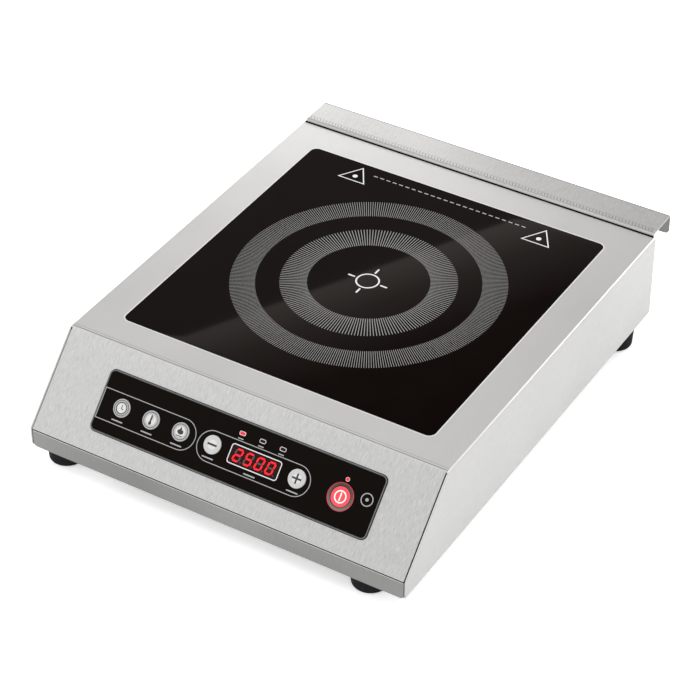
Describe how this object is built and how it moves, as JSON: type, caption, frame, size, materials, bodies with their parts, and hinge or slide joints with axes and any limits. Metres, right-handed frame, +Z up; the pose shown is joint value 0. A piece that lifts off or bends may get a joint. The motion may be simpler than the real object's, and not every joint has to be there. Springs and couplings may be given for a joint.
{
  "type": "induction hob",
  "caption": "Countertop induction hob: brushed stainless box with a sloped push-button panel, black glass plate, rear canopy over the vents and round rubber feet.",
  "frame": {"origin": "on the table plane under the middle of the hob's overall footprint", "axes": "+X to the user's right, +Y towards the rear, +Z up; the control panel faces -Y"},
  "size_m": [0.331, 0.425, 0.0975],
  "materials": {
    "brushed_stainless": "fine brushed",
    "glass_black": "polished black glass ceramic",
    "silicone_white": "smooth bead",
    "zinc_steel": "zinc plated",
    "bezel_grey": "satin",
    "panel_black": "smooth film",
    "display_red": "smoked red",
    "button_grey": "satin",
    "button_red": "satin",
    "ring_grey": "satin",
    "plastic_dark": "moulded",
    "board_green": "solder resist",
    "component_black": "moulded",
    "display_body": "moulded",
    "led_red": "clear red",
    "screw_steel": "zinc plated",
    "cable_grey": "ribbon",
    "foot_rubber": "matt",
    "former_plastic": "glass filled",
    "litz_copper": "varnished strands",
    "ferrite": "sintered",
    "spring_steel": "drawn",
    "mica": "pressed sheet",
    "silicone_grey": "soft",
    "aluminium": "mill",
    "lead_red": "sleeve",
    "capacitor_blue": "cast",
    "copper_enamel": "enamelled",
    "transformer_yellow": "taped",
    "relay_blue": "moulded",
    "fuse_ceramic": "glazed",
    "brass_plain": "turned",
    "block_white": "moulded",
    "lead_brown": "sleeve",
    "fan_black": "moulded"
  },
  "bodies": {
    "hob": {"top_housing": "brushed_stainless", "base_pan": "brushed_stainless", "rear_panel": "brushed_stainless", "rear_canopy": "brushed_stainless", "glass_plate": "glass_black", "glass_sealant": "silicone_white", "glass_frame": "zinc_steel", "panel_bezel": "bezel_grey", "control_overlay": "panel_black", "display_window": "display_red", "on_off_ring": "ring_grey", "button_carrier": "plastic_dark", "control_board": "board_green", "tact_switches": "component_black", "display_module": "display_body", "indicator_leds": "led_red", "buzzer": "component_black", "control_screws": "screw_steel", "ribbon_cable": "cable_grey", "feet": "foot_rubber", "foot_screws": "screw_steel", "base_screws": "screw_steel", "rear_screws": "screw_steel", "cable_gland": "plastic_dark", "gland_nut": "plastic_dark", "coil_former": "former_plastic", "litz_coil": "litz_copper", "ferrite_bars": "ferrite", "coil_springs": "spring_steel", "mica_sheet": "mica", "thermistor_plug": "silicone_grey", "coil_bracket": "aluminium", "coil_leads": "lead_red", "power_board": "board_green", "heat_sink": "aluminium", "igbt_transistors": "component_black", "bridge_rectifier": "component_black", "resonance_capacitors": "capacitor_blue", "filter_choke": "copper_enamel", "standby_transformer": "transformer_yellow", "mains_relay": "relay_blue", "fuse": "fuse_ceramic", "board_standoffs": "brass_plain", "board_screws": "screw_steel", "terminal_block": "block_white", "mains_leads": "lead_brown", "earth_stud": "brass_plain", "fan_frame_left": "fan_black", "fan_frame_right": "fan_black", "fan_screws": "screw_steel"},
    "timer_button": {"timer_button": "button_grey"},
    "temp_button": {"temp_button": "button_grey"},
    "power_button": {"power_button": "button_grey"},
    "down_button": {"down_button": "button_grey"},
    "up_button": {"up_button": "button_grey"},
    "on_off_button": {"on_off_button": "button_red"},
    "fan_left": {"fan_rotor_left": "fan_black"},
    "fan_right": {"fan_rotor_right": "fan_black"}
  },
  "joints": [
    {"name": "timer_press", "type": "slide", "parent": "hob", "child": "timer_button", "axis": [0, 0.7159, -0.6982], "range_m": [0, 0.0008], "stiffness_N_per_m": 60, "springref_m": -0.0005},
    {"name": "temp_press", "type": "slide", "parent": "hob", "child": "temp_button", "axis": [0, 0.7159, -0.6982], "range_m": [0, 0.0008], "stiffness_N_per_m": 60, "springref_m": -0.0005},
    {"name": "power_press", "type": "slide", "parent": "hob", "child": "power_button", "axis": [0, 0.7159, -0.6982], "range_m": [0, 0.0008], "stiffness_N_per_m": 60, "springref_m": -0.0005},
    {"name": "down_press", "type": "slide", "parent": "hob", "child": "down_button", "axis": [0, 0.7159, -0.6982], "range_m": [0, 0.0008], "stiffness_N_per_m": 60, "springref_m": -0.0005},
    {"name": "up_press", "type": "slide", "parent": "hob", "child": "up_button", "axis": [0, 0.7159, -0.6982], "range_m": [0, 0.0008], "stiffness_N_per_m": 60, "springref_m": -0.0005},
    {"name": "on_off_press", "type": "slide", "parent": "hob", "child": "on_off_button", "axis": [0, 0.7159, -0.6982], "range_m": [0, 0.0008], "stiffness_N_per_m": 60, "springref_m": -0.0005},
    {"name": "fan_left_spin", "type": "hinge", "parent": "hob", "child": "fan_left", "pos_m": [-0.062, 0.096, 0.0334], "axis": [0, 0, 1], "continuous": true},
    {"name": "fan_right_spin", "type": "hinge", "parent": "hob", "child": "fan_right", "pos_m": [0.062, 0.096, 0.0334], "axis": [0, 0, 1], "continuous": true}
  ]
}
